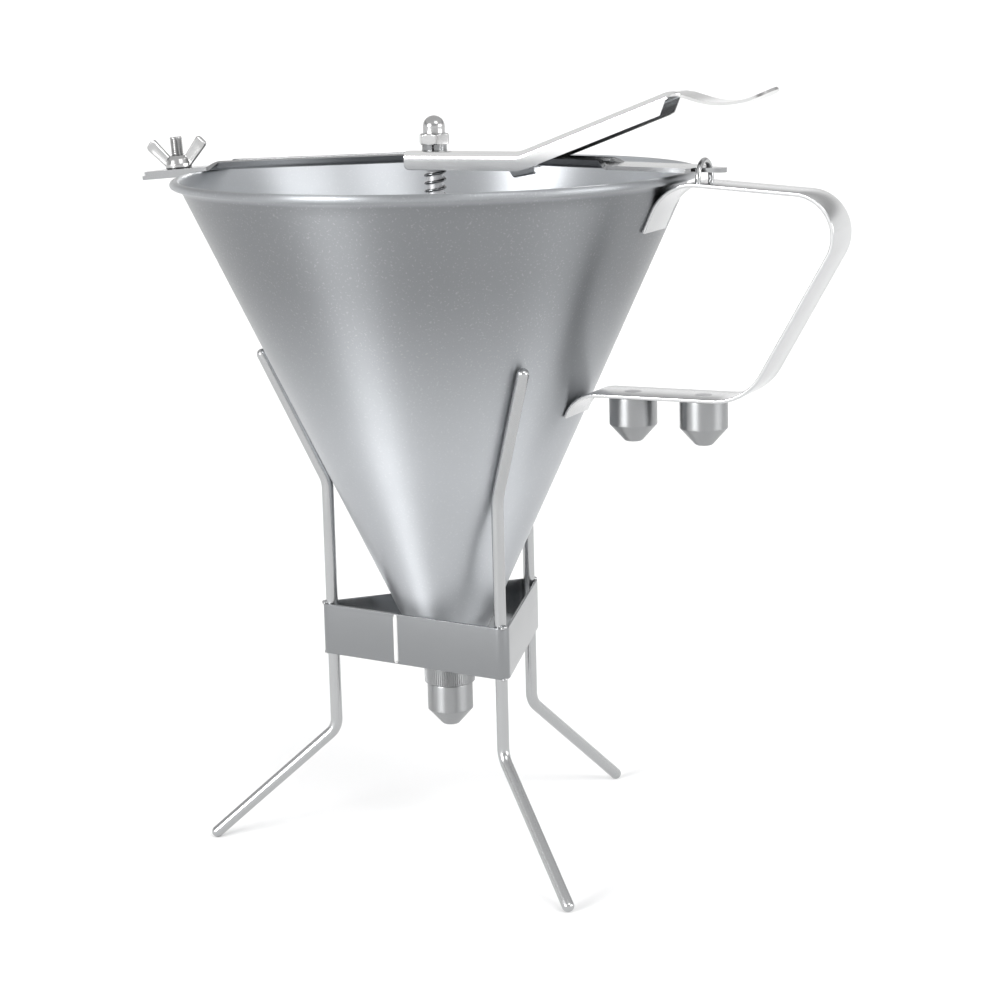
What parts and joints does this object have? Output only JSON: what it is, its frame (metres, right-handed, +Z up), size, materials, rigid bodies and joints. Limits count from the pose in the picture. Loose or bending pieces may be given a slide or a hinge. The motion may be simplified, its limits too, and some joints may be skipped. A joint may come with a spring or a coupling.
{
  "type": "pancake batter dispenser",
  "caption": "Conical metal batter funnel with a lever-operated bottom valve, strap handle and spare nozzles, resting in a three-legged wire stand.",
  "frame": {"origin": "the funnel's axis at the level of the surface that the stand's feet rest on", "axes": "+X from the funnel's axis towards the handle, +Z up, +Y square to both, to the left when looking along +X"},
  "size_m": [0.2739, 0.19, 0.2806],
  "materials": {
    "funnel_steel": "satin spun stainless steel",
    "strip_steel": "polished stainless strip",
    "lever_steel": "bright polished stainless sheet",
    "turned_steel": "turned stainless bar",
    "fastener_steel": "bright stainless hardware",
    "wire_steel": "bright drawn stainless wire",
    "band_steel": "bright rolled stainless sheet"
  },
  "bodies": {
    "stand": {"stand_leg_left": "wire_steel", "stand_leg_front": "wire_steel", "stand_leg_back": "wire_steel", "stand_band": "band_steel"},
    "funnel": {"funnel_cone": "funnel_steel", "outlet_collar": "turned_steel", "handle_strip": "strip_steel", "nozzle_studs": "turned_steel", "bridge_staple": "wire_steel", "rim_tab": "strip_steel", "clamp_stud": "fastener_steel", "bridge": "strip_steel"},
    "lever": {"lever": "lever_steel"},
    "valve": {"valve_rod": "turned_steel", "valve_plug": "turned_steel", "spring_collar": "turned_steel", "return_spring": "wire_steel", "lock_washer": "fastener_steel", "cap_nut": "fastener_steel"},
    "wing_nut": {"wing_nut": "fastener_steel"},
    "nozzle_fitted": {"nozzle_fitted": "turned_steel"},
    "nozzle_spare_inner": {"nozzle_spare_inner": "turned_steel"},
    "nozzle_spare_outer": {"nozzle_spare_outer": "turned_steel"}
  },
  "joints": [
    {"name": "funnel_lift", "type": "slide", "parent": "stand", "child": "funnel", "axis": [0, 0, 1], "range_m": [0, 0.12]},
    {"name": "lever_press", "type": "hinge", "parent": "funnel", "child": "lever", "pos_m": [0.0362, 0, 0.2579], "axis": [0, 1, 0], "range_deg": [0, 11]},
    {"name": "valve_lift", "type": "slide", "parent": "funnel", "child": "valve", "axis": [0, 0, 1], "range_m": [0, 0.008], "stiffness_N_per_m": 100, "springref_m": -0.004, "deforming": ["return_spring"]},
    {"name": "wing_nut_turn", "type": "hinge", "parent": "funnel", "child": "wing_nut", "pos_m": [-0.108, 0, 0.24977], "axis": [-0.0785, 0, 0.9969], "continuous": true},
    {"name": "nozzle_turn", "type": "hinge", "parent": "funnel", "child": "nozzle_fitted", "pos_m": [0, 0, 0.053], "axis": [0, 0, 1], "continuous": true},
    {"name": "inner_spare_turn", "type": "hinge", "parent": "funnel", "child": "nozzle_spare_inner", "pos_m": [0.0756, 0, 0.165], "axis": [0, 0, 1], "continuous": true},
    {"name": "outer_spare_turn", "type": "hinge", "parent": "funnel", "child": "nozzle_spare_outer", "pos_m": [0.1021, 0, 0.165], "axis": [0, 0, 1], "continuous": true}
  ],
  "couplings": [
    {"joint": "valve_lift", "follows": "lever_press", "m_per_rad": 0.0412}
  ]
}
